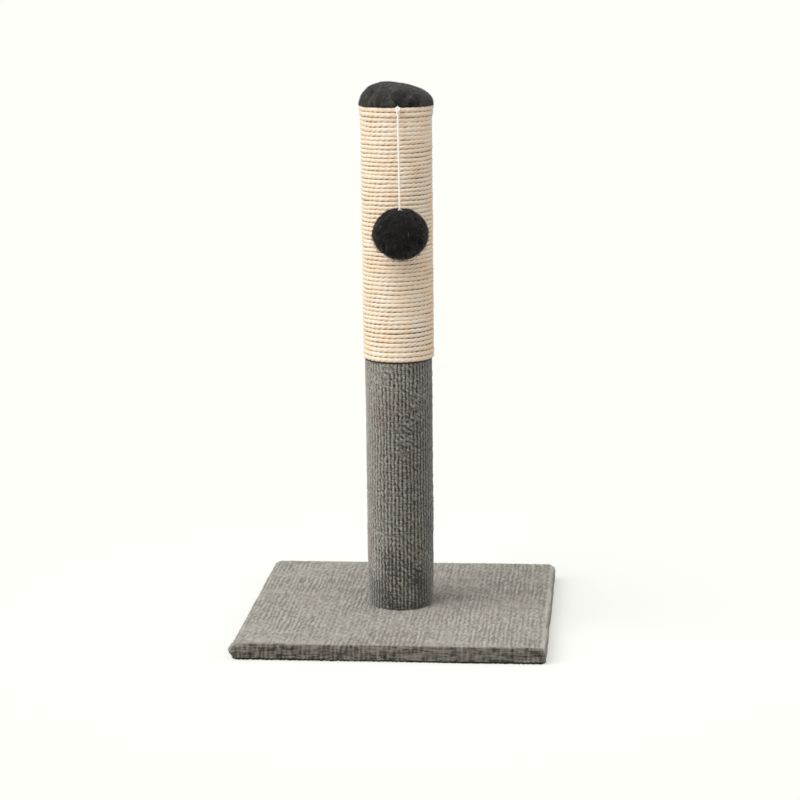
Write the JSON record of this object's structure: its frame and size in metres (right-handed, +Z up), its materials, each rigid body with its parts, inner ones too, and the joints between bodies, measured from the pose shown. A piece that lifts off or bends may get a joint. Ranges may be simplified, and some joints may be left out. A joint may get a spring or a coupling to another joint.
{
  "type": "cat scratching post",
  "caption": "Free-standing scratching post: square cloth-covered base, tube with plush sleeve and sisal rope, padded dome, ball on a cord.",
  "frame": {"origin": "on the floor, under the middle of the post, which is the middle of the square base", "axes": "+Z up along the post, -Y towards the front, where the toy hangs, +X to the right of someone facing the front"},
  "size_m": [0.3, 0.3, 0.54],
  "materials": {
    "board": "raw chipboard",
    "base_plush": "short ribbed plush",
    "sleeve_plush": "short ribbed plush",
    "cap_plush": "soft plush",
    "ball_plush": "fluffy plush",
    "wadding": "loose fibre",
    "sisal": "twisted natural fibre",
    "cord_cotton": "braided cotton",
    "tube_card": "wound cardboard",
    "plug_wood": "raw wood",
    "steel": "zinc-plated"
  },
  "bodies": {
    "stand": {"base_board": "board", "base_cover": "base_plush", "cover_staples": "steel", "base_bolt": "steel", "base_washer": "steel", "post_tube": "tube_card", "bottom_plug": "plug_wood", "top_plug": "plug_wood", "t_nut": "steel", "plug_staples": "steel", "post_sleeve": "sleeve_plush", "sisal_rope": "sisal", "rope_staples": "steel", "cap_cover": "cap_plush", "cap_filling": "wadding", "cap_staples": "steel", "cord_tail": "cord_cotton", "cord_staple": "steel"},
    "cord_swivel": {"cord_top_knot": "cord_cotton"},
    "hanging_cord": {"toy_cord": "cord_cotton", "cord_end_knot": "cord_cotton"},
    "toy_ball": {"ball_cover": "ball_plush", "ball_filling": "wadding"}
  },
  "joints": [
    {"name": "toy_swing_sideways", "type": "hinge", "parent": "stand", "child": "cord_swivel", "pos_m": [0.00532, -0.03783, 0.5135], "axis": [0.1392, -0.9903, 0], "range_deg": [-75, 75]},
    {"name": "toy_swing_outward", "type": "hinge", "parent": "cord_swivel", "child": "hanging_cord", "pos_m": [0.00532, -0.03783, 0.5135], "axis": [-0.9903, -0.1392, 0], "range_deg": [0, 90]},
    {"name": "toy_ball_twist", "type": "hinge", "parent": "hanging_cord", "child": "toy_ball", "pos_m": [0.00864, -0.06145, 0.39717], "axis": [-0.028, 0.1989, 0.9796], "continuous": true}
  ]
}
